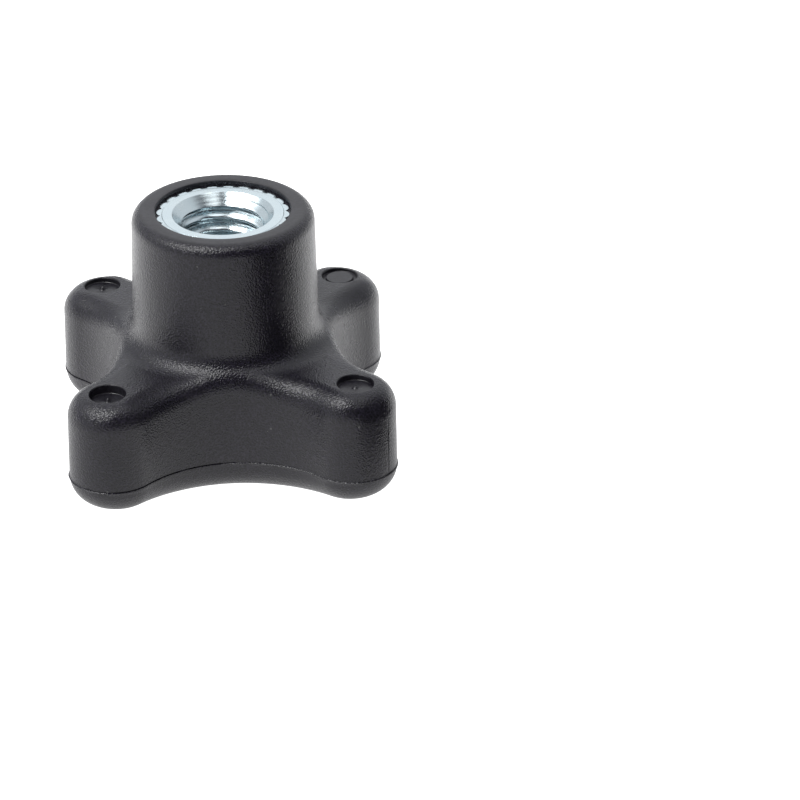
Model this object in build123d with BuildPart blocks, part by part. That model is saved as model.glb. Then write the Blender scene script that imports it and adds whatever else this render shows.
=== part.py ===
from build123d import *
import os
from math import atan2, cos, degrees, radians, sin, tan

# A four-lobe clamping knob: a black moulded body around a knurled, threaded steel bush.
# Millimetres. The flat face lies on z = 0, the bore runs up +Z to the hub end,
# and the lobes point along +X, +Y, -X and -Y.

# Star body
knob_diameter = 45.0  # across opposite lobe tips
lobe_count = 4
lobe_tip_radius = 4.7
waist_radius = 11.7  # axis to the bottom of each finger valley
lobe_height = 13.0  # flat face to the lobe top at its tip, before the edge is rounded
lobe_top_slope = 1.5  # degrees, rising from the tips to the hub
lobe_top_edge_radius = 2.8

# Mould halves
parting_height = 3.9  # flat face to the parting line
parting_step = 0.08  # the hub-side half stands in from the face-side half by this
face_draft = 5.5  # degrees
wall_draft = 0.5  # degrees
face_edge_radius = 3.0
face_flat_diameter = 17.0  # outside this the face is crowned, so the lobe tips stand off a table
face_crown = 0.85  # from the flat face to the crown at the lobe tips

# Hub
knob_height = 27.65  # flat face to hub end
hub_end_diameter = 19.3
hub_draft = 1.0  # degrees
hub_blend_radius = 2.4
hub_end_edge_radius = 1.35

# Ejector pin marks, one on each lobe
ejector_pin_diameter = 4.0
ejector_circle_radius = 18.2
ejector_depth = 0.45  # pin face below the lobe top, at the pin's axis
ejector_nub_diameter = 0.5
ejector_nub_height = 0.15

# Threaded bush, M10 x 1.5
thread_minor_diameter = 8.38
bush_diameter = 14.1  # over the knurl's crests
knurl_count = 24
knurl_depth = 0.4
bush_length = 16.4
bush_end_setback = 0.45  # hub end to the bush's end
countersink_diameter = 10.64
countersink_angle = 90.0  # degrees
groove_width = 2.4  # the ring groove that locks the bush in the moulding
groove_depth = 0.6  # below the knurl's roots
end_recess_clearance = 0.1  # from the knurl's crests to the recess around the bush's end

# Recess in the flat face
recess_diameter = 12.5
recess_step_diameter = 14.1
recess_step_depth = 0.25
lip_opening_diameter = 11.2  # in the lip that covers the bush's lower end
lip_thickness = 0.4

# Worked out from the sizes above
lobe_pitch = 360 / lobe_count
tip_centre = knob_diameter / 2 - lobe_tip_radius
tip_to_waist = waist_radius - lobe_tip_radius
valley_centre = (tip_centre**2 - tip_to_waist**2) / (
    2 * (tip_centre * cos(radians(lobe_pitch / 2)) - tip_to_waist)
)
valley_radius = valley_centre - waist_radius
join_angle = degrees(
    atan2(
        valley_centre * sin(radians(lobe_pitch / 2)),
        valley_centre * cos(radians(lobe_pitch / 2)) - tip_centre,
    )
)
bush_top = knob_height - bush_end_setback
bush_bottom = bush_top - bush_length
bush_middle = (bush_top + bush_bottom) / 2
knurl_root_radius = bush_diameter / 2 - knurl_depth
recess_floor = bush_bottom - lip_thickness
knurl_pitch = 360 / knurl_count


def lobe_top_at(radius):
    return lobe_height + (knob_diameter / 2 - radius) * tan(radians(lobe_top_slope))


hub_slope = tan(radians(hub_draft))
hub_root_radius = (hub_end_diameter / 2 + (knob_height - lobe_top_at(0)) * hub_slope) / (
    1 - tan(radians(lobe_top_slope)) * hub_slope
)
pin_face_height = lobe_top_at(ejector_circle_radius) - ejector_depth


def polar(radius, angle):
    return (radius * cos(radians(angle)), radius * sin(radians(angle)))


def star_face(height):
    """The star at a height: tip arcs and valley arcs, each tangent to the next."""
    with BuildSketch(Plane.XY.offset(height)) as star:
        with BuildLine():
            for lobe in range(lobe_count):
                tip_angle = lobe * lobe_pitch
                valley_angle = tip_angle + lobe_pitch / 2
                valley_span = 2 * (join_angle - lobe_pitch / 2)
                CenterArc(
                    polar(tip_centre, tip_angle), lobe_tip_radius, tip_angle - join_angle, 2 * join_angle
                )
                CenterArc(
                    polar(valley_centre, valley_angle),
                    valley_radius,
                    valley_angle + 180 - valley_span / 2,
                    valley_span,
                )
        make_face()
    return star.sketch


with BuildPart() as face_half:
    add(star_face(parting_height))
    extrude(amount=-parting_height, taper=face_draft)
    with BuildSketch(Plane.XZ):
        with BuildLine():
            flat = Line((0, 0), (face_flat_diameter / 2, 0))
            crown = TangentArc(flat @ 1, (knob_diameter / 2, face_crown), tangent=flat % 1)
            Polyline(crown @ 1, (knob_diameter / 2, knob_height), (0, knob_height), flat @ 0)
        make_face()
    revolve(axis=Axis.Z, mode=Mode.INTERSECT)
    crowned_face = face_half.faces().sort_by(Axis.Z)[1]
    fillet(crowned_face.outer_wire().edges(), face_edge_radius)

with BuildPart() as hub_half:
    with BuildSketch(Plane.XY.offset(parting_height)):
        add(star_face(0))
        offset(amount=-parting_step)
    extrude(amount=knob_height, taper=wall_draft)
    # The hub, the blend at its root and the lobe tops are one turned form, so in the valleys,
    # where the hub stands close to the wall, the rounded edge climbs the blend
    with BuildSketch(Plane.XZ) as turned_form:
        with BuildLine():
            Polyline(
                (0, 0),
                (knob_diameter, 0),
                (knob_diameter, lobe_top_at(knob_diameter)),
                (hub_root_radius, lobe_top_at(hub_root_radius)),
                (hub_end_diameter / 2, knob_height),
                (0, knob_height),
                close=True,
            )
        make_face()
        hub_root = turned_form.vertices().sort_by_distance((hub_root_radius, lobe_top_at(hub_root_radius)))[0]
        fillet(hub_root, hub_blend_radius)
    revolve(axis=Axis.Z, mode=Mode.INTERSECT)
    fillet(hub_half.edges(Select.NEW), lobe_top_edge_radius)
    hub_end = hub_half.faces().sort_by(Axis.Z)[-1]
    fillet(hub_end.edges(), hub_end_edge_radius)

# The bush before it is bored: a straight knurl of rounded teeth with a ring groove at its middle.
# The moulding fills the knurl and the groove, so the same blank cuts the bush's seat.
with BuildPart() as bush_blank:
    with BuildSketch(Plane.XY.offset(bush_bottom)):
        with BuildLine():
            for tooth in range(knurl_count):
                root_angle = tooth * knurl_pitch
                ThreePointArc(
                    polar(knurl_root_radius, root_angle),
                    polar(bush_diameter / 2, root_angle + knurl_pitch / 2),
                    polar(knurl_root_radius, root_angle + knurl_pitch),
                )
        make_face()
    extrude(amount=bush_length)
    with BuildSketch(Plane.XY.offset(bush_middle)):
        Circle(bush_diameter)
        Circle(knurl_root_radius - groove_depth, mode=Mode.SUBTRACT)
    extrude(amount=groove_width / 2, both=True, mode=Mode.SUBTRACT)

with BuildPart() as threaded_bush:
    add(bush_blank.part)
    with Locations((0, 0, bush_top)):
        CounterSinkHole(thread_minor_diameter / 2, countersink_diameter / 2, bush_length, countersink_angle)
    with Locations(Plane.XY.offset(bush_bottom).rotated((180, 0, 0))):
        CounterSinkHole(thread_minor_diameter / 2, countersink_diameter / 2, bush_length, countersink_angle)

with BuildPart() as knob_body:
    add(face_half.part)
    add(hub_half.part)

    # Ejector pin marks: flat round pockets, each with a small nub at its centre
    with BuildSketch(Plane.XY.offset(pin_face_height)):
        with PolarLocations(ejector_circle_radius, lobe_count):
            Circle(ejector_pin_diameter / 2)
            Circle(ejector_nub_diameter / 2, mode=Mode.SUBTRACT)
    extrude(amount=lobe_top_edge_radius, mode=Mode.SUBTRACT)
    with BuildSketch(Plane.XY.offset(pin_face_height + ejector_nub_height)):
        with PolarLocations(ejector_circle_radius, lobe_count):
            Circle(ejector_nub_diameter / 2)
    extrude(amount=lobe_top_edge_radius, mode=Mode.SUBTRACT)

    # The seat of the bush, then the round cuts on the bore's axis: the recess around the bush's
    # hub end, the opening in the lip below it, the recess in the flat face and its shallow step
    add(bush_blank.part, mode=Mode.SUBTRACT)
    for start, diameter, depth in (
        (bush_top, bush_diameter + 2 * end_recess_clearance, bush_end_setback),
        (recess_floor, lip_opening_diameter, lip_thickness),
        (0, recess_diameter, recess_floor),
        (0, recess_step_diameter, recess_step_depth),
    ):
        with BuildSketch(Plane.XY.offset(start)):
            Circle(diameter / 2)
        extrude(amount=depth, mode=Mode.SUBTRACT)

knob_body.part.label = "knob_body"
threaded_bush.part.label = "threaded_bush"

os.makedirs("parts", exist_ok=True)
export_step(knob_body.part, "parts/knob_body.step")
export_step(threaded_bush.part, "parts/threaded_bush.step")
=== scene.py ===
import math
import bmesh
import bpy
import numpy as np
from mathutils import Matrix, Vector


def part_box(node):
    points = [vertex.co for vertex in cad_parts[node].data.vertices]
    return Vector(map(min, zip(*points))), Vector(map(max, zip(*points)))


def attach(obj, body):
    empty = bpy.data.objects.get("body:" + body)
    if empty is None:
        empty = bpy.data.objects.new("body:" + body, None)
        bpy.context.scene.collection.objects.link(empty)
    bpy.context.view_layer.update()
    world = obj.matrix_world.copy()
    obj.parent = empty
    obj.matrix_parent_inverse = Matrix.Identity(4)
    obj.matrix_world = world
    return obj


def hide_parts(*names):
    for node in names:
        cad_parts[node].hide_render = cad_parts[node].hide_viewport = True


# A four-lobe clamping knob: a black moulded body round a zinc-plated, threaded steel bush.
# Sizes are millimetres until finishMesh turns them into metres. The bore runs up +Z.

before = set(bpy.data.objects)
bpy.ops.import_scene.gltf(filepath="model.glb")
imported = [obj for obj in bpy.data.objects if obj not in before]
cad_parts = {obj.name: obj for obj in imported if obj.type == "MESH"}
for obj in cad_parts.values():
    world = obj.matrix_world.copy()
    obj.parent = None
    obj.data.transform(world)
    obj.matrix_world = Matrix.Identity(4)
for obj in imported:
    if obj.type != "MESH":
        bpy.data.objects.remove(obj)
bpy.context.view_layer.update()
mm = 0.001
bodyHigh = np.array(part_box("knob_body")[1]) / mm
bushLow, bushHigh = (np.array(corner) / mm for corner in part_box("threaded_bush"))


def finishMesh(name, vertices, faces, sharpAngle):
    # millimetres in, a smooth-shaded object in metres out
    mergeDistance, shortestEdge = 0.0005, 0.0002
    mesh = bpy.data.meshes.new(name)
    mesh.from_pydata([tuple(v) for v in np.asarray(vertices) * mm], [], faces)
    edit = bmesh.new()
    edit.from_mesh(mesh)
    bmesh.ops.remove_doubles(edit, verts=edit.verts, dist=mergeDistance * mm)
    bmesh.ops.dissolve_degenerate(edit, edges=edit.edges, dist=shortestEdge * mm)
    bmesh.ops.recalc_face_normals(edit, faces=edit.faces)
    edit.to_mesh(mesh)
    edit.free()
    mesh.shade_smooth()
    mesh.set_sharp_from_angle(angle=math.radians(sharpAngle))
    piece = bpy.data.objects.new(name, mesh)
    bpy.context.scene.collection.objects.link(piece)
    return piece


def spaced(start, stop, steps, first=True, last=True):
    values = np.linspace(start, stop, steps + 1)
    return values[0 if first else 1 : None if last else -1]


def ringPoints(rings, azimuths):
    # each ring is a radius and a height at every azimuth
    across, up = np.cos(azimuths), np.sin(azimuths)
    return np.concatenate([np.stack((r * across, r * up, height), 1) for r, height in rings])


def ringFaces(ringCount, columns, closed):
    # quads between neighbouring rings; closed joins the last ring to the first
    faces = []
    for ring in range(ringCount if closed else ringCount - 1):
        here, there = ring * columns, (ring + 1) % ringCount * columns
        for column in range(columns):
            beside = (column + 1) % columns
            faces.append((here + column, here + beside, there + beside, there + column))
    return faces


def newGroup(name, inputs, outputs):
    group = bpy.data.node_groups.new(name, "ShaderNodeTree")
    for label, value in inputs:
        socket = group.interface.new_socket(label, in_out="INPUT", socket_type="NodeSocketFloat")
        socket.default_value = value
    for label in outputs:
        group.interface.new_socket(label, in_out="OUTPUT", socket_type="NodeSocketFloat")
    return group, group.nodes.new("NodeGroupInput"), group.nodes.new("NodeGroupOutput")


def noiseNode(tree, detail, roughness):
    noise = tree.nodes.new("ShaderNodeTexNoise")
    noise.inputs["Detail"].default_value = detail
    noise.inputs["Roughness"].default_value = roughness
    return noise


def mathNode(tree, operation, first, second):
    node = tree.nodes.new("ShaderNodeMath")
    node.operation = operation
    for socket, value in zip(node.inputs, (first, second)):
        if isinstance(value, (int, float)):
            socket.default_value = value
        else:
            tree.links.new(value, socket)
    return node.outputs["Value"]


def rangeNode(tree, source, low, high):
    node = tree.nodes.new("ShaderNodeMapRange")
    tree.links.new(source, node.inputs["Value"])
    node.inputs["From Min"].default_value = 0.3
    node.inputs["From Max"].default_value = 0.7
    node.inputs["To Min"].default_value = low
    node.inputs["To Max"].default_value = high
    return node.outputs["Result"]


def mixNode(tree, factor, first, second, blend="MIX"):
    # a fixed colour or the output of another node goes into each side
    node = tree.nodes.new("ShaderNodeMix")
    node.data_type, node.blend_type = "RGBA", blend
    for label, value in (("Factor", factor), ("A", first), ("B", second)):
        socket = node.inputs[label]
        if isinstance(value, tuple):
            socket.default_value = (*value, 1)
        elif isinstance(value, float):
            socket.default_value = value
        else:
            tree.links.new(value, socket)
    return node.outputs["Result"]


def bumpNode(tree, height, strength, depth, normal=None):
    node = tree.nodes.new("ShaderNodeBump")
    node.inputs["Strength"].default_value = strength
    node.inputs["Distance"].default_value = depth * mm
    tree.links.new(height, node.inputs["Height"])
    if normal:
        tree.links.new(normal, node.inputs["Normal"])
    return node.outputs["Normal"]


def newMaterial(name, colour, roughness, metallic):
    material = bpy.data.materials.new(name)
    material.use_nodes = True
    shader = material.node_tree.nodes["Principled BSDF"]
    shader.inputs["Base Color"].default_value = (*colour, 1)
    shader.inputs["Roughness"].default_value = roughness
    shader.inputs["Metallic"].default_value = metallic
    return material, material.node_tree, shader


def makeGrainGroup():
    # fine grain, a slow patchy mask and a few specks of dust, all fixed to the piece
    group, inside, outside = newGroup(
        "fineGrain",
        (("Grain Scale", 7000.0), ("Patch Scale", 180.0)),
        ("Height", "Patches", "Specks"),
    )
    place = group.nodes.new("ShaderNodeTexCoord")
    cells = group.nodes.new("ShaderNodeTexVoronoi")
    fine = noiseNode(group, 1.0, 0.5)
    patches = noiseNode(group, 3.0, 0.55)
    for texture, source, factor in (
        (cells, inside.outputs["Grain Scale"], 1.0),
        (fine, inside.outputs["Grain Scale"], 1.3),
        (patches, inside.outputs["Patch Scale"], 1.0),
    ):
        group.links.new(place.outputs["Object"], texture.inputs["Vector"])
        group.links.new(mathNode(group, "MULTIPLY", source, factor), texture.inputs["Scale"])
    both = mathNode(group, "ADD", fine.outputs["Fac"], cells.outputs["Distance"])
    group.links.new(mathNode(group, "MULTIPLY", both, 0.5), outside.inputs["Height"])
    group.links.new(patches.outputs["Fac"], outside.inputs["Patches"])
    # the specks are the middles of some large cells
    dust = group.nodes.new("ShaderNodeTexVoronoi")
    dust.inputs["Scale"].default_value = 700.0
    group.links.new(place.outputs["Object"], dust.inputs["Vector"])
    pick = group.nodes.new("ShaderNodeSeparateColor")
    group.links.new(dust.outputs["Color"], pick.inputs["Color"])
    small = mathNode(group, "LESS_THAN", dust.outputs["Distance"], 0.085)
    few = mathNode(group, "GREATER_THAN", pick.outputs["Red"], 0.86)
    group.links.new(mathNode(group, "MULTIPLY", small, few), outside.inputs["Specks"])
    return group


fineGrain = makeGrainGroup()


def placeGrain(tree, look):
    grain = tree.nodes.new("ShaderNodeGroup")
    grain.node_tree = fineGrain
    grain.inputs["Grain Scale"].default_value = look["grainScale"]
    grain.inputs["Patch Scale"].default_value = look["patchScale"]
    return grain.outputs


def blackPlastic(name, look):
    material, tree, shader = newMaterial(name, look["dark"], look["roughness"][0], 0)
    grain = placeGrain(tree, look)
    patchy = mixNode(tree, rangeNode(tree, grain["Patches"], 0, 1), look["dark"], look["light"])
    speckle = rangeNode(tree, grain["Height"], *look["speckle"])
    speckled = mixNode(tree, 1.0, patchy, speckle, "MULTIPLY")
    dusty = mixNode(tree, grain["Specks"], speckled, look["dust"])
    tree.links.new(dusty, shader.inputs["Base Color"])
    rough = rangeNode(tree, grain["Patches"], *look["roughness"])
    tree.links.new(rough, shader.inputs["Roughness"])
    grained = bumpNode(tree, grain["Height"], look["bump"], look["bumpDepth"])
    tree.links.new(grained, shader.inputs["Normal"])
    return material


def zincPlate(name, look):
    material, tree, shader = newMaterial(name, look["pale"], look["roughness"][0], 1)
    grain = placeGrain(tree, look)
    patchy = mixNode(tree, rangeNode(tree, grain["Patches"], 0, 1), look["cool"], look["pale"])
    tree.links.new(patchy, shader.inputs["Base Color"])
    rough = rangeNode(tree, grain["Patches"], *look["roughness"])
    tree.links.new(rough, shader.inputs["Roughness"])
    # turning marks are fine rings about the bore's axis, and the plating pits them
    place = tree.nodes.new("ShaderNodeTexCoord")
    rings = tree.nodes.new("ShaderNodeTexWave")
    rings.wave_type, rings.rings_direction = "RINGS", "Z"
    rings.inputs["Scale"].default_value = look["ringScale"]
    rings.inputs["Distortion"].default_value = 1.5
    rings.inputs["Detail"].default_value = 2.0
    tree.links.new(place.outputs["Object"], rings.inputs["Vector"])
    turned = bumpNode(tree, rings.outputs["Fac"], look["bump"], look["ringDepth"])
    pitted = bumpNode(tree, grain["Height"], look["bump"], look["pitDepth"], turned)
    tree.links.new(pitted, shader.inputs["Normal"])
    return material


grainedPlastic = blackPlastic(
    "grainedBlackPlastic",
    {
        "dark": (0.0065, 0.0055, 0.0100),
        "light": (0.0115, 0.0100, 0.0155),
        "speckle": (0.1, 2.0),  # how the grain darkens and lightens the colour
        "dust": (0.07, 0.07, 0.07),
        "roughness": (0.24, 0.31),
        "grainScale": 5000.0,
        "patchScale": 160.0,
        "bump": 1.0,
        "bumpDepth": 0.068,
    },
)
# the smooth finish is real; its colour, lighter than the grained plastic's, is painted sheen on the
# hub's end and in the pin marks
smoothPlasticWithSheen = blackPlastic(
    "smoothBlackPlasticWithSheen",
    {
        "dark": (0.010, 0.009, 0.013),
        "light": (0.016, 0.015, 0.020),
        "speckle": (0.6, 1.4),
        "dust": (0.05, 0.05, 0.05),
        "roughness": (0.28, 0.40),
        "grainScale": 2600.0,
        "patchScale": 300.0,
        "bump": 0.25,
        "bumpDepth": 0.03,
    },
)
plating = {
    "grainScale": 9000.0,
    "patchScale": 420.0,
    "ringScale": 900.0,
    "bump": 0.25,
    "ringDepth": 0.01,
    "pitDepth": 0.012,
}
brightPlate = {"pale": (0.66, 0.745, 0.77), "cool": (0.58, 0.67, 0.71), "roughness": (0.16, 0.28)}
# the tapped thread is rougher than the turned outside, and its paler colour paints light into the bore
tappedPlateWithPaintedLight = {"pale": (0.76, 0.81, 0.82), "cool": (0.66, 0.73, 0.76), "roughness": (0.34, 0.46)}
zincSteel = zincPlate("brightZincPlate", plating | brightPlate)
tappedSteelWithPaintedLight = zincPlate("tappedZincPlatePaintedLight", plating | tappedPlateWithPaintedLight)
print("materials ready")

bush = {
    "top": bushHigh[2],
    "bottom": bushLow[2],
    "teeth": 24,  # of the straight knurl
    "crest": 7.05,  # radii, as are the next four
    "groove": 6.05,  # the ring groove that locks the bush in the moulding
    "faceLine": 6.42,  # a turned line round the end face
    "sink": 5.32,  # rim of the countersink, 45 degrees
    "sinkDrop": 0.03,  # from the end face to that rim
    "toothDepth": 0.42,
    "toothColumns": 12,
    "grooveHalf": 1.2,
    "minor": 4.19,  # radii of the thread
    "major": 4.86,
    "pitch": 1.5,
    "threadStart": 0.41,  # turns
    "sharpAngle": 28,  # edges sharper than this stay crisp, degrees
    # where a row of points runs along the thread, in pitches from the middle of a crest
    "crestRows": (-0.10, -0.05, 0.0, 0.05, 0.10),
    "flankRows": (0.18, 0.265, 0.35),
    "rootRows": (0.43, 0.47, 0.53, 0.57),
    "backRows": (0.65, 0.735, 0.82),
}


def knurlRadius(azimuths):
    # each tooth is one arc through a root, the crest and the next root
    half = math.pi / bush["teeth"]
    crest, root = bush["crest"], bush["crest"] - bush["toothDepth"]
    rootX, rootY = root * math.cos(half), root * math.sin(half)
    centre = (crest**2 - rootX**2 - rootY**2) / (2 * (crest - rootX))
    turn = (azimuths % (2 * half)) - half
    return centre * np.cos(turn) + np.sqrt((crest - centre) ** 2 - (centre * np.sin(turn)) ** 2)


def endRings(azimuths, end):
    # from a countersink's rim over the end face and along the knurl to the bottom of the groove
    full, outer = np.ones(len(azimuths)), knurlRadius(azimuths)
    level = bush["top"] if end == 1 else bush["bottom"]
    profile = (
        (bush["sink"], bush["sinkDrop"]),
        (bush["sink"] + 0.05, 0),
        (bush["faceLine"] - 0.05, 0),
        (bush["faceLine"], 0.04),
        (bush["faceLine"] + 0.04, 0.02),
        (outer - 0.06, 0.03),
        (outer, 0.09),
    )
    rings = [(radius * full, (level - end * drop) * full) for radius, drop in profile]
    side = ((bush["top"] + bush["bottom"]) / 2 + end * bush["grooveHalf"]) * full
    return rings + [(outer, side), (np.minimum(outer, bush["groove"]), side)]


def threadRadius(phase):
    # a tapped and plated thread: narrow rounded crests and roots, straight flanks
    away = np.abs((phase + 0.5) % 1 - 0.5)
    minor, major = bush["minor"], bush["major"]
    return np.interp(away, (0.05, 0.10, 0.43, 0.47), (minor, minor + 0.05, major - 0.03, major))


def sinkRadius(level):
    # the countersinks open out by as much as they rise
    fromTop = bush["top"] - bush["sinkDrop"] - level
    fromBottom = level - bush["bottom"] - bush["sinkDrop"]
    return bush["sink"] - np.minimum(fromTop, fromBottom)


def threadWall(azimuths, base):
    # rows of points follow the helix, and the countersinks and the end faces cut them off
    columns, pitch, turnsBelow = len(azimuths), bush["pitch"], 1.3  # rows start under the lower end
    phases = np.array(bush["crestRows"] + bush["flankRows"] + bush["rootRows"] + bush["backRows"])
    turns = math.ceil((bush["top"] - bush["bottom"]) / pitch) + 3
    rows = (np.arange(turns)[:, None] + phases[None, :]).ravel()
    climb = rows[:, None] - turnsBelow + bush["threadStart"] + azimuths[None, :] / (2 * math.pi)
    height = bush["bottom"] + climb * pitch
    height = np.clip(height, bush["bottom"] + bush["sinkDrop"], bush["top"] - bush["sinkDrop"])
    radius = np.repeat(threadRadius(rows)[:, None], columns, 1)
    for row in range(len(rows) - 1):
        # the row nearer to where the thread meets the countersink moves onto the meeting
        over = radius[row : row + 2] - sinkRadius(height[row : row + 2])
        share = over[0] / np.where(over[0] == over[1], 1, over[0] - over[1])
        meets = over[0] * over[1] < 0
        level = height[row] + (height[row + 1] - height[row]) * share
        for moved, chosen in ((row, meets & (share < 0.5)), (row + 1, meets & (share >= 0.5))):
            height[moved] = np.where(chosen, level, height[moved])
            radius[moved] = np.where(chosen, sinkRadius(level), radius[moved])
    radius = np.maximum(radius, sinkRadius(height))
    points = np.stack((radius * np.cos(azimuths), radius * np.sin(azimuths), height), 2)
    faces = []
    for row in range(len(rows) - 1):
        for column in range(columns):
            # past the last column a row goes on as the row one turn up
            turnUp = len(phases) if column == columns - 1 else 0
            beside = (column + 1) % columns
            if row + 1 + turnUp < len(rows):
                here, there = base + row * columns, base + (row + turnUp) * columns
                upper = (there + columns + beside, here + columns + column)
                faces.append((here + column, there + beside, *upper))
    return points.reshape(-1, 3), faces


def makeBush():
    columns = bush["teeth"] * bush["toothColumns"]
    azimuths = np.arange(columns) * 2 * math.pi / columns
    rings = endRings(azimuths, 1) + endRings(azimuths, -1)[::-1]
    outside, outsideFaces = ringPoints(rings, azimuths), ringFaces(len(rings), columns, False)
    inside, insideFaces = threadWall(azimuths, len(outside))
    vertices = np.concatenate((outside, inside))
    piece = finishMesh("threadedBush", vertices, outsideFaces + insideFaces, bush["sharpAngle"])
    piece.data.materials.append(zincSteel)
    piece.data.materials.append(tappedSteelWithPaintedLight)
    # the thread in the bore takes the tapped plating, whose paler colour is painted light
    for polygon in piece.data.polygons:
        x, y, z = (v / mm for v in polygon.center)
        if math.hypot(x, y) < min(sinkRadius(z) - 0.02, bush["sink"] - 0.2):
            polygon.material_index = 1
    print("threaded bush", len(piece.data.polygons), "faces")
    return piece


body = {
    "lobes": 4,
    "reach": bodyHigh[0],  # axis to a lobe's tip
    "tipRadius": 4.7,
    "waist": 11.7,  # axis to the bottom of a valley
    "lobeHeight": 13.0,
    "topSlope": 1.5,  # degrees, as are the drafts
    "topEdge": 2.8,
    "wallDraft": 0.5,
    "columnSpacing": 0.3,  # along the outline
    # where the mould halves meet
    "partingHeight": 3.65,
    "step": 0.08,  # how far the upper half stands in
    "skin": 0.02,  # room kept for the flash inside the overall size
    "flash": 0.08,
    "flashFoot": 0.11,  # from the parting line down to the foot of the flash
    "crack": 0.16,
    "crackSide": 157.0,  # degrees, turns the crack to one side of each valley
    # a hairline up one lobe's end
    "hairLobe": 3,
    "hairAngle": 5.0,
    "hairDepth": 0.06,
    "hairHalf": 0.09,
    "hairColumns": (-1.6, -1, -0.5, 0, 0.5, 1, 1.6),  # in half widths from its middle
    # flat face
    "faceDraft": 5.5,
    "faceEdge": 3.0,
    "faceFlat": 8.5,
    "crown": 0.85,
    # hub
    "hubEnd": bodyHigh[2],
    "hubRadius": 9.65,
    "hubDraft": 1.0,
    "hubBlend": 2.4,
    "hubEdge": 1.35,
    "collar": 7.15,  # radius of the recess round the bush's end
    "collarEdge": 0.12,
    "collarDepth": 0.14,  # below the bush's end face
    # recess in the flat face
    "recessRadius": 6.25,
    "recessEdge": 0.15,
    "mouthRadius": 7.05,
    "mouthDepth": 0.25,
    "floorEdge": 0.3,
    "lipRadius": 5.6,
    "lip": 0.4,
    # ejector pin marks
    "pinRadius": 1.92,
    "pinCircle": 18.2,
    "pinRim": 0.14,  # rounding round the mouth
    "pinSides": 72,
    # depth, nub height and depth of the ring round the floor, on the +X, +Y, -X and -Y lobes
    "pins": ((0.24, 0.0, 0.22), (0.62, 0.42, 0.0), (0.95, 0.42, 0.0), (0.62, 0.26, 0.0)),
    "pinRing": 0.42,
    "nubRadius": 0.34,
    "nub": ((0.12, 1.0), (0.3, 0.9), (0.6, 0.5), (0.88, 0.1)),  # its shape, top to root
    # the smooth finish of the hub's end, where a lighter colour paints sheen
    "smoothDepth": 0.25,
    "smoothRim": 0.9,
    "sharpAngle": 32,
}

# the outline: tip arcs and valley arcs, each tangent to the next
lobePitch = 2 * math.pi / body["lobes"]
tipCentre = body["reach"] - body["skin"] - body["tipRadius"]
tipToWaist = body["waist"] - body["tipRadius"]
valleyCentre = (tipCentre**2 - tipToWaist**2) / (
    2 * (tipCentre * math.cos(lobePitch / 2) - tipToWaist)
)
valleyRadius = valleyCentre - body["waist"]
valleyX = valleyCentre * math.cos(lobePitch / 2)
valleyY = valleyCentre * math.sin(lobePitch / 2)
joinAngle = math.atan2(valleyY, valleyX - tipCentre)

# where the hub's side and the lobe tops' cone would meet, and the centre and ends of the blend
topAngle, hubAngle = math.radians(body["topSlope"]), math.radians(body["hubDraft"])
topSlope, hubSlope = math.tan(topAngle), math.tan(hubAngle)
hubRise = body["hubEnd"] - body["lobeHeight"] - body["reach"] * topSlope
cornerR = (body["hubRadius"] + hubRise * hubSlope) / (1 - topSlope * hubSlope)
blend = body["hubBlend"]
blendReach = blend / math.tan(math.radians(90 + body["hubDraft"] + body["topSlope"]) / 2)
blendOuterR = cornerR + blendReach * math.cos(topAngle)
blendCentreR = blendOuterR + blend * math.sin(topAngle)
blendOuterZ = body["lobeHeight"] + (body["reach"] - blendOuterR) * topSlope
blendCentreZ = blendOuterZ + blend * math.cos(topAngle)
blendInnerR = blendCentreR - blend * math.cos(hubAngle)
blendInnerZ = blendCentreZ - blend * math.sin(hubAngle)

wallHeight = body["lobeHeight"] - body["topEdge"] - body["partingHeight"]
wallInset = body["step"] + wallHeight * math.tan(math.radians(body["wallDraft"]))


def hairAzimuths(steps):
    # azimuths that many half widths from the hairline
    turn = math.radians(body["hairAngle"]) + steps * body["hairHalf"] / body["tipRadius"]
    x, y = tipCentre + body["tipRadius"] * np.cos(turn), body["tipRadius"] * np.sin(turn)
    return body["hairLobe"] * lobePitch + np.arctan2(y, x)


def hairDepth(azimuths):
    middle, edge = hairAzimuths(np.array([0.0, 1.0])) % (2 * math.pi)
    return body["hairDepth"] * np.clip(1 - np.abs(azimuths - middle) / (edge - middle), 0, 1)


def outlineAzimuths():
    # azimuths of points evenly spaced along the arcs, with more of them at the hairline
    tipRadius, valleySpan = body["tipRadius"], 2 * joinAngle - lobePitch
    tipSteps = round(2 * joinAngle * tipRadius / body["columnSpacing"])
    valleySteps = round(valleySpan * valleyRadius / body["columnSpacing"])
    middle = lobePitch / 2 + math.pi
    azimuths = []
    for lobe in range(body["lobes"]):
        for angle in spaced(-joinAngle, joinAngle, tipSteps, last=False):
            x, y = tipCentre + tipRadius * math.cos(angle), tipRadius * math.sin(angle)
            azimuths.append(lobe * lobePitch + math.atan2(y, x))
        for angle in spaced(middle + valleySpan / 2, middle - valleySpan / 2, valleySteps, last=False):
            x, y = valleyX + valleyRadius * math.cos(angle), valleyY + valleyRadius * math.sin(angle)
            azimuths.append(lobe * lobePitch + math.atan2(y, x))
    azimuths += list(hairAzimuths(np.array(body["hairColumns"])))
    return np.sort(np.array(azimuths) % (2 * math.pi))


def insetAt(azimuths, radius):
    # distance in from the outline
    folded = np.abs((azimuths + lobePitch / 2) % lobePitch - lobePitch / 2)
    x, y = radius * np.cos(folded), radius * np.sin(folded)
    onTip = np.arctan2(y, x - tipCentre) < joinAngle
    fromTip = body["tipRadius"] - np.hypot(x - tipCentre, y)
    fromValley = np.hypot(x - valleyX, y - valleyY) - valleyRadius
    return np.where(onTip, fromTip, fromValley)


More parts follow.
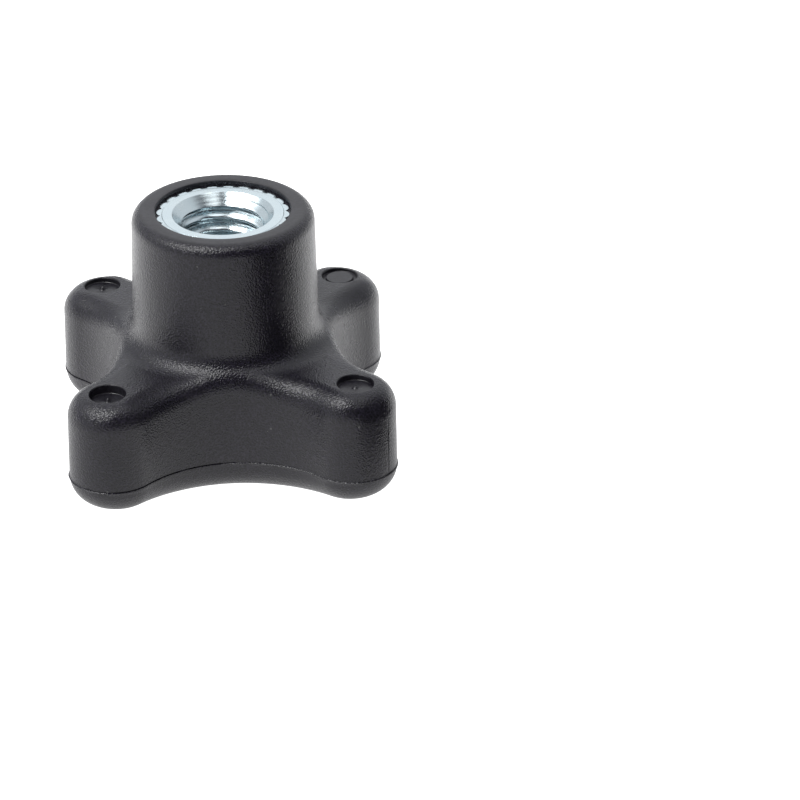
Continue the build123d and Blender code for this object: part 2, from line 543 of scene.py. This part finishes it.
def radiusAt(azimuths, inset):
    # the inset falls steadily along each ray, so halving finds it
    halvings, innermost, outermost = 44, 4.0, body["reach"] + 2.0
    low, high = np.full(len(azimuths), innermost), np.full(len(azimuths), outermost)
    for _ in range(halvings):
        middle = (low + high) / 2
        inside = insetAt(azimuths, middle) > inset
        low, high = np.where(inside, middle, low), np.where(inside, high, middle)
    return (low + high) / 2


def lobeTop(azimuths, radius):
    # the lobe tops, rounded over towards the wall
    edge = body["topEdge"]
    short = np.clip(edge - (insetAt(azimuths, radius) - wallInset), 0, edge)
    rise = (body["reach"] - radius) * topSlope
    return body["lobeHeight"] + rise - (edge - np.sqrt(edge**2 - short**2))


def turnedHeight(radius):
    # the lobe tops' cone and the blend that climbs from it to the hub
    cone = body["lobeHeight"] + (body["reach"] - radius) * topSlope
    lift = np.sqrt(np.maximum(blend**2 - (blendCentreR - radius) ** 2, 0))
    return np.where(radius < blendOuterR, blendCentreZ - lift, cone)


def edgeContact(azimuths):
    # a ball of the edge's radius lies against the wall and up under the turned form:
    # how far in it touches, and the height of its centre
    edge = body["topEdge"]
    lowest = np.full(len(azimuths), np.inf)
    touch = np.zeros(len(azimuths))
    for share in np.linspace(0.02, 1, 99):
        radius = radiusAt(azimuths, wallInset + share * edge)
        height = turnedHeight(radius) - edge * math.sqrt(1 - (1 - share) ** 2)
        lower = (radius > blendInnerR) & (height < lowest - 1e-7)
        lowest, touch = np.where(lower, height, lowest), np.where(lower, share * edge, touch)
    return touch, lowest


def seatRings(azimuths):
    # the moulding fills the knurl up to just under the bush's end
    seat, full = knurlRadius(azimuths), np.ones(len(azimuths))
    top = bush["top"] - body["collarDepth"]
    return [
        (seat, bush["bottom"] * full),
        (seat, top * full),
        (body["collar"] * full, top * full),
    ]


def hubRings(azimuths):
    # the end's inner edge, flat ring and outer edge, then the side down to the blend
    end, edge, inner, full = body["hubEnd"], body["hubEdge"], body["collarEdge"], np.ones(len(azimuths))
    profile = []
    for angle in spaced(math.pi, math.pi / 2, 3):
        radius = body["collar"] + inner + inner * math.cos(angle)
        profile.append((radius, end - inner + inner * math.sin(angle)))
    profile.append(((body["collar"] + body["hubRadius"] - edge) / 2, end))
    for angle in spaced(math.pi / 2, hubAngle, 12):
        radius = body["hubRadius"] - edge + edge * math.cos(angle)
        profile.append((radius, end - edge + edge * math.sin(angle)))
    sideR, sideZ = profile[-1]
    for share in spaced(0, 1, 16, first=False):
        profile.append((sideR + (blendInnerR - sideR) * share, sideZ + (blendInnerZ - sideZ) * share))
    return [(radius * full, height * full) for radius, height in profile]


def lobeRings(azimuths, touch, ballZ):
    # over the blend and the lobe top to where the edge's rounding starts, then down to the wall
    edge, rings = body["topEdge"], []
    touchR = radiusAt(azimuths, wallInset + touch)
    steepest = math.pi / 2 - hubAngle
    gentlest = np.maximum(np.arcsin(np.clip((blendCentreR - touchR) / blend, 0, 1)), topAngle)
    for share in spaced(0, 1, 20, first=False):
        slope = steepest + (gentlest - steepest) * share
        rings.append((blendCentreR - blend * np.sin(slope), blendCentreZ - blend * np.cos(slope)))
    lastR = rings[-1][0]
    for share in spaced(0, 1, 12, first=False):
        radius = lastR + np.maximum(touchR - lastR, 0) * share
        rings.append((radius, turnedHeight(radius)))
    start = np.arccos(np.clip(1 - touch / edge, 0, 1))
    for share in spaced(0, 1, 22, first=False):
        angle = start * (1 - share)
        radius = radiusAt(azimuths, wallInset + edge * (1 - np.cos(angle)))
        rings.append((radius, ballZ + edge * np.sin(angle)))
    return rings


def wander(azimuths, seed, cycles):
    # smooth noise between 0 and 1 that closes on itself round the outline
    rng = np.random.default_rng(seed)
    total = np.zeros(len(azimuths))
    for cycle in cycles:
        total += math.sqrt(1 / len(cycles)) * np.sin(cycle * azimuths + rng.uniform(0, 2 * math.pi))
    return np.clip(0.5 + 0.5 * total, 0, 1)


def partingRings(azimuths, wallTop):
    # on one side of each valley's middle the halves leave a fine crack, elsewhere a thin fin of flash
    full = np.ones(len(azimuths))
    turned = body["lobes"] * (azimuths + math.radians(body["crackSide"]))
    crack = np.clip(0.1 + 1.3 * np.cos(turned), 0, 1)
    ragged = wander(azimuths, 11, (3, 17, 41, 67, 131))
    notch = body["step"] + body["crack"] * crack * (0.35 + 0.65 * ragged)
    thickness = 0.35 + 0.65 * wander(azimuths, 5, (2, 7, 23, 59, 97))
    fin = body["skin"] - body["flash"] * (1 - 0.7 * crack) * thickness
    folded = (azimuths + lobePitch / 2) % lobePitch - lobePitch / 2
    widest = (body["reach"] - 0.004) / np.cos(folded)
    parting, rings = body["partingHeight"], []
    # the wall, in to the crack, out over the fin, and its foot
    wallFoot = parting + 0.10
    for share in spaced(0, 1, 14, first=False):
        inset = wallInset + (body["step"] - wallInset) * share
        inset = inset + hairDepth(azimuths) * min(4 * share, 1)
        rings.append((radiusAt(azimuths, inset), wallTop + (wallFoot - wallTop) * share))
    top = parting + 0.045 - 0.035 * crack
    for inset, height in (
        (notch, parting + 0.05 + 0.05 * crack * ragged),
        (notch, top + 0.002),
        (body["step"] - 0.01 - 0.04 * crack, top),
        (fin, (parting - 0.04) * full),
        (fin, (parting - 0.05) * full),
        (0 * full, (parting - body["flashFoot"]) * full),
    ):
        rings.append((np.minimum(radiusAt(azimuths, inset), widest), height))
    return rings


def faceHeight(radius):
    # flat in the middle, then crowned
    run = body["reach"] - body["faceFlat"]
    sweep = (run**2 + body["crown"] ** 2) / (2 * body["crown"])
    beyond = np.clip(radius - body["faceFlat"], 0, None)
    return sweep - np.sqrt(sweep**2 - beyond**2)


def faceRings(azimuths):
    # the lower half: drafted side, rounded edge, crowned face
    edge, draft, rings = body["faceEdge"], math.radians(body["faceDraft"]), []
    rim = faceHeight(radiusAt(azimuths, edge))
    edgeHeight = body["partingHeight"] - rim - edge
    centreInset = edge / math.cos(draft) + edgeHeight * math.tan(draft)

    def edgeRing(angle):
        radius = radiusAt(azimuths, centreInset - edge * math.cos(angle))
        return radius, faceHeight(radius) + edge * (1 - math.sin(angle))

    start = body["partingHeight"] - body["flashFoot"]
    firstR, firstZ = edgeRing(draft)
    firstInset = insetAt(azimuths, firstR)
    for share in (0.34, 0.67):
        rings.append((radiusAt(azimuths, firstInset * share), start + (firstZ - start) * share))
    for angle in spaced(draft, math.pi / 2, 16):
        rings.append(edgeRing(angle))
    flatR = rings[-1][0]
    inner = body["mouthRadius"] + body["recessEdge"]
    for share in spaced(0, 1, 14, first=False):
        radius = flatR + (inner - flatR) * share
        rings.append((radius, faceHeight(radius)))
    return rings


def recessRings(azimuths):
    # shallow step, rounded mouth, wall, floor, and the lip in to the bush's seat
    edge, mouth, deep = body["recessEdge"], body["mouthRadius"], body["mouthDepth"]
    wall, wallEdge, full = body["recessRadius"], 3 * edge, np.ones(len(azimuths))
    floor, floorEdge = bush["bottom"] - body["lip"], body["floorEdge"]
    path = []
    for angle in spaced(math.pi / 2, 0, 3, first=False):
        path.append((mouth + edge * (1 - math.cos(angle)), edge * (1 - math.sin(angle))))
    path += [(mouth - 0.02, deep - 0.06), (mouth - 0.08, deep)]
    for angle in spaced(math.pi / 2, 0, 5):
        path.append((wall + wallEdge * (1 - math.cos(angle)), deep + wallEdge * (1 - math.sin(angle))))
    for share in spaced(0, 1, 8, first=False):
        path.append((wall, deep + wallEdge + (floor - floorEdge - deep - wallEdge) * share))
    for angle in spaced(0, math.pi / 2, 4, first=False):
        radius = wall - floorEdge + floorEdge * math.cos(angle)
        path.append((radius, floor - floorEdge + floorEdge * math.sin(angle)))
    path += [(body["lipRadius"] + 0.08, floor), (body["lipRadius"], floor + 0.08)]
    path.append((body["lipRadius"], bush["bottom"]))
    return [(radius * full, height * full) for radius, height in path]


def pinRings(lobe):
    # one mark's cutter, from the nub's dimple out over the floor and up past the rounded mouth
    depth, nubHeight, ringDepth = body["pins"][lobe]
    radius, rim, nub = body["pinRadius"], body["pinRim"], body["nubRadius"]
    floor, ringFloor, moat = -depth, -depth - ringDepth, radius - body["pinRing"]
    turns = np.linspace(0, 2 * math.pi, body["pinSides"], endpoint=False)
    middleX = math.cos(lobe * lobePitch) * body["pinCircle"]
    middleY = math.sin(lobe * lobePitch) * body["pinCircle"]
    middleTop = body["lobeHeight"] + (body["reach"] - body["pinCircle"]) * topSlope

    def ringAt(distance, level, follow=False):
        # a ring at one level, or that far below the lobe top all round
        x, y = middleX + distance * np.cos(turns), middleY + distance * np.sin(turns)
        surface = lobeTop(np.arctan2(y, x), np.hypot(x, y)) if follow else middleTop
        return np.stack((x, y, surface + level + 0 * x), 1)

    rings = []
    for share, rise in body["nub"] if nubHeight else ():
        rings.append(ringAt(nub * share, nubHeight * rise - depth))
    rings += [ringAt(nub * 1.1, floor), ringAt(moat - 0.08, floor)]
    rings += [ringAt(moat + 0.04, ringFloor), ringAt(radius - 0.04, ringFloor)]
    rings.append(ringAt(radius, 0.04 - depth - ringDepth))
    for angle in spaced(0, 1.35, 4):
        mouth = radius + rim * (1 - math.cos(angle))
        rings.append(ringAt(mouth, rim * (math.sin(angle) - 1), True))
    rings.append(rings[-1] + np.array((0, 0, 4.0)))
    return rings


def addPlastics(piece):
    piece.data.materials.append(grainedPlastic)
    piece.data.materials.append(smoothPlasticWithSheen)


def makePinCutter():
    # a closed round cutter for each lobe
    sides, vertices, faces = body["pinSides"], [], []
    for lobe in range(body["lobes"]):
        rings, base = pinRings(lobe), len(vertices)
        last = base + (len(rings) - 1) * sides
        vertices += list(np.concatenate(rings))
        faces += [tuple(base + i for i in face) for face in ringFaces(len(rings), sides, False)]
        faces.append(tuple(base + i for i in range(sides)))
        faces.append(tuple(last + i for i in reversed(range(sides))))
    cutter = finishMesh("pinCutter", vertices, faces, 30)
    addPlastics(cutter)
    # the marks take the smooth plastic, whose lighter colour paints sheen in them
    for polygon in cutter.data.polygons:
        polygon.material_index = 1
    return cutter


def makeBody():
    azimuths = outlineAzimuths()
    touch, ballZ = edgeContact(azimuths)
    rings = seatRings(azimuths) + hubRings(azimuths) + lobeRings(azimuths, touch, ballZ)
    rings += partingRings(azimuths, ballZ) + faceRings(azimuths) + recessRings(azimuths)
    faces = ringFaces(len(rings), len(azimuths), True)
    piece = finishMesh("mouldedBody", ringPoints(rings, azimuths), faces, body["sharpAngle"])
    addPlastics(piece)
    # the hub's end takes the smooth plastic, whose lighter colour paints sheen there
    smoothLevel = (body["hubEnd"] - body["smoothDepth"]) * mm
    smoothReach = (body["hubRadius"] - body["smoothRim"]) * mm
    for polygon in piece.data.polygons:
        x, y, z = polygon.center
        if z > smoothLevel and math.hypot(x, y) < smoothReach:
            polygon.material_index = 1
    # the pin marks are cut, and the cut mesh takes the place of the whole one
    cutter = makePinCutter()
    cut = piece.modifiers.new("pin marks", "BOOLEAN")
    cut.object, cut.operation, cut.solver = cutter, "DIFFERENCE", "EXACT"
    cut.material_mode = "INDEX"
    graph = bpy.context.evaluated_depsgraph_get()
    mesh = bpy.data.meshes.new_from_object(piece.evaluated_get(graph))
    piece.modifiers.clear()
    piece.data = mesh
    bpy.data.objects.remove(cutter)
    mesh.set_sharp_from_angle(angle=math.radians(body["sharpAngle"]))
    print("moulded body", len(mesh.polygons), "faces")
    return piece


knobBody = makeBody()
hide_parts("knob_body")
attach(knobBody, "root")

threadedBush = makeBush()
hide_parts("threaded_bush")
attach(threadedBush, "root")

# metres and degrees
studio = {
    "floorHalf": 3.0,
    "floorColour": (0.25, 0.25, 0.25),
    "floorGlow": (0.64, 1.50),  # a lit table, brighter towards the back
    "glowReach": 0.045,
    "seenFloor": 0.4,  # more glow where the table is seen directly
    "seenWorld": (1.0, 1.0, 1.0),
    "fillWorld": (0.73, 0.75, 0.78),
    "darkWorld": (0.06, 0.06, 0.07),
    "darkFrom": (-26.0, 30.0, 0.50, 0.80),  # azimuth, elevation, and where the dark starts and is full
    "camera": {"azimuth": -48.981, "elevation": 27.448, "distance": 0.54204, "roll": -0.603},
    "lens": 223.63,
    "aim": (0.01914, -0.00770, 0.0),
    "lampAim": (0, 0, 0.014),
    # azimuth and elevation they shine from, distance, size, brightness
    "softBoxes": (
        (-102.0, 60.0, 0.60, 0.27, 9.0),
        (-140.0, 43.0, 0.60, 0.24, 1.4),
        (0.0, 72.0, 0.60, 0.24, 1.8),
        (131.0, 42.0, 0.60, 0.50, 0.36),
    ),
    # a dark card that only reflections see, painting a dark reflection on the knob: azimuth, distance,
    # width, height
    "paintedDarkReflection": (10.0, 0.032, 0.034, 0.034),
}


def towards(azimuth, elevation):
    # a direction from the knob; azimuth 0 is the side of -Y
    a, e = math.radians(azimuth), math.radians(elevation)
    return np.array([math.sin(a) * math.cos(e), -math.cos(a) * math.cos(e), math.sin(e)])


def lookFrom(azimuth, elevation, distance, aim, roll=0.0):
    a, turn = math.radians(azimuth), math.radians(roll)
    back = towards(azimuth, elevation)
    level = np.array([math.cos(a), math.sin(a), 0.0])
    right = level * math.cos(turn) + np.cross(back, level) * math.sin(turn)
    up, place = np.cross(back, right), np.array(aim) + back * distance
    return Matrix([[right[i], up[i], back[i], place[i]] for i in range(3)] + [[0, 0, 0, 1]])


def sheetOf(name, corners):
    mesh = bpy.data.meshes.new(name)
    mesh.from_pydata(corners, [], [(0, 1, 2, 3)])
    sheet = bpy.data.objects.new(name, mesh)
    bpy.context.scene.collection.objects.link(sheet)
    return sheet


def fadeAlong(tree, place, direction, fromRange, toRange=(0, 1)):
    # a smooth fade along a direction
    along = tree.nodes.new("ShaderNodeVectorMath")
    along.operation = "DOT_PRODUCT"
    along.inputs[1].default_value = direction
    tree.links.new(place, along.inputs[0])
    fade = tree.nodes.new("ShaderNodeMapRange")
    fade.interpolation_type = "SMOOTHSTEP"
    for label, value in zip(("From Min", "From Max", "To Min", "To Max"), (*fromRange, *toRange)):
        fade.inputs[label].default_value = value
    tree.links.new(along.outputs["Value"], fade.inputs["Value"])
    return fade.outputs["Result"]


def makeFloor():
    half, reach = studio["floorHalf"], studio["glowReach"]
    floor = sheetOf("floor", [(-half, -half, 0), (half, -half, 0), (half, half, 0), (-half, half, 0)])
    material, tree, shader = newMaterial("paleFloor", studio["floorColour"], 0.6, 0)
    floor.data.materials.append(material)
    place = tree.nodes.new("ShaderNodeTexCoord").outputs["Object"]
    away = tuple(-towards(studio["camera"]["azimuth"], 0))
    glow = fadeAlong(tree, place, away, (-reach, reach), studio["floorGlow"])
    rays = tree.nodes.new("ShaderNodeLightPath")
    seen = mathNode(tree, "MULTIPLY", rays.outputs["Is Camera Ray"], studio["seenFloor"])
    tree.links.new(mathNode(tree, "ADD", glow, seen), shader.inputs["Emission Strength"])
    shader.inputs["Emission Color"].default_value = (1, 1, 1, 1)


def makeWorld():
    # white to look at, a pale fill for the rest, and dark on the side the knob is seen from
    world = bpy.data.worlds.new("studio")
    world.use_nodes = True
    tree = world.node_tree
    azimuth, elevation, fadeStart, fadeEnd = studio["darkFrom"]
    place = tree.nodes.new("ShaderNodeTexCoord").outputs["Generated"]
    dark = fadeAlong(tree, place, tuple(towards(azimuth, elevation)), (fadeStart, fadeEnd))
    around = mixNode(tree, dark, studio["fillWorld"], studio["darkWorld"])
    rays = tree.nodes.new("ShaderNodeLightPath")
    colour = mixNode(tree, rays.outputs["Is Camera Ray"], around, studio["seenWorld"])
    tree.links.new(colour, tree.nodes["Background"].inputs["Color"])
    bpy.context.scene.world = world


def makeCard():
    azimuth, distance, width, height = studio["paintedDarkReflection"]
    a = math.radians(azimuth)
    out = towards(azimuth, 0) * distance
    side = np.array((math.cos(a), math.sin(a), 0)) * width / 2
    low, high = np.array((0, 0, 0.001)), np.array((0, 0, height))
    corners = [tuple(out + corner) for corner in (low - side, low + side, high + side, high - side)]
    card = sheetOf("paintedDarkReflection", corners)
    # the card's dark colour paints a dark reflection on the knob's glossy surfaces
    material, tree, shader = newMaterial("paintedDarkReflection", (0.01, 0.01, 0.01), 0.9, 0)
    card.data.materials.append(material)
    card.visible_camera = card.visible_diffuse = card.visible_shadow = False


def makeSoftBoxes():
    for azimuth, elevation, distance, size, brightness in studio["softBoxes"]:
        lamp = bpy.data.lights.new("softBox", "AREA")
        lamp.shape, lamp.size = "SQUARE", size
        lamp.energy = brightness * math.pi * size**2
        light = bpy.data.objects.new("softBox", lamp)
        light.matrix_world = lookFrom(azimuth, elevation, distance, studio["lampAim"])
        light.visible_camera = False
        bpy.context.scene.collection.objects.link(light)


def makeCamera():
    lens = bpy.data.cameras.new("camera")
    lens.lens, lens.sensor_width, lens.clip_start = studio["lens"], 36, 0.01
    camera = bpy.data.objects.new("camera", lens)
    camera.matrix_world = lookFrom(aim=studio["aim"], **studio["camera"])
    bpy.context.scene.collection.objects.link(camera)
    bpy.context.scene.camera = camera
    bpy.context.scene.view_settings.view_transform = "Standard"


makeFloor()
makeWorld()
makeCard()
makeSoftBoxes()
makeCamera()
print("studio ready")
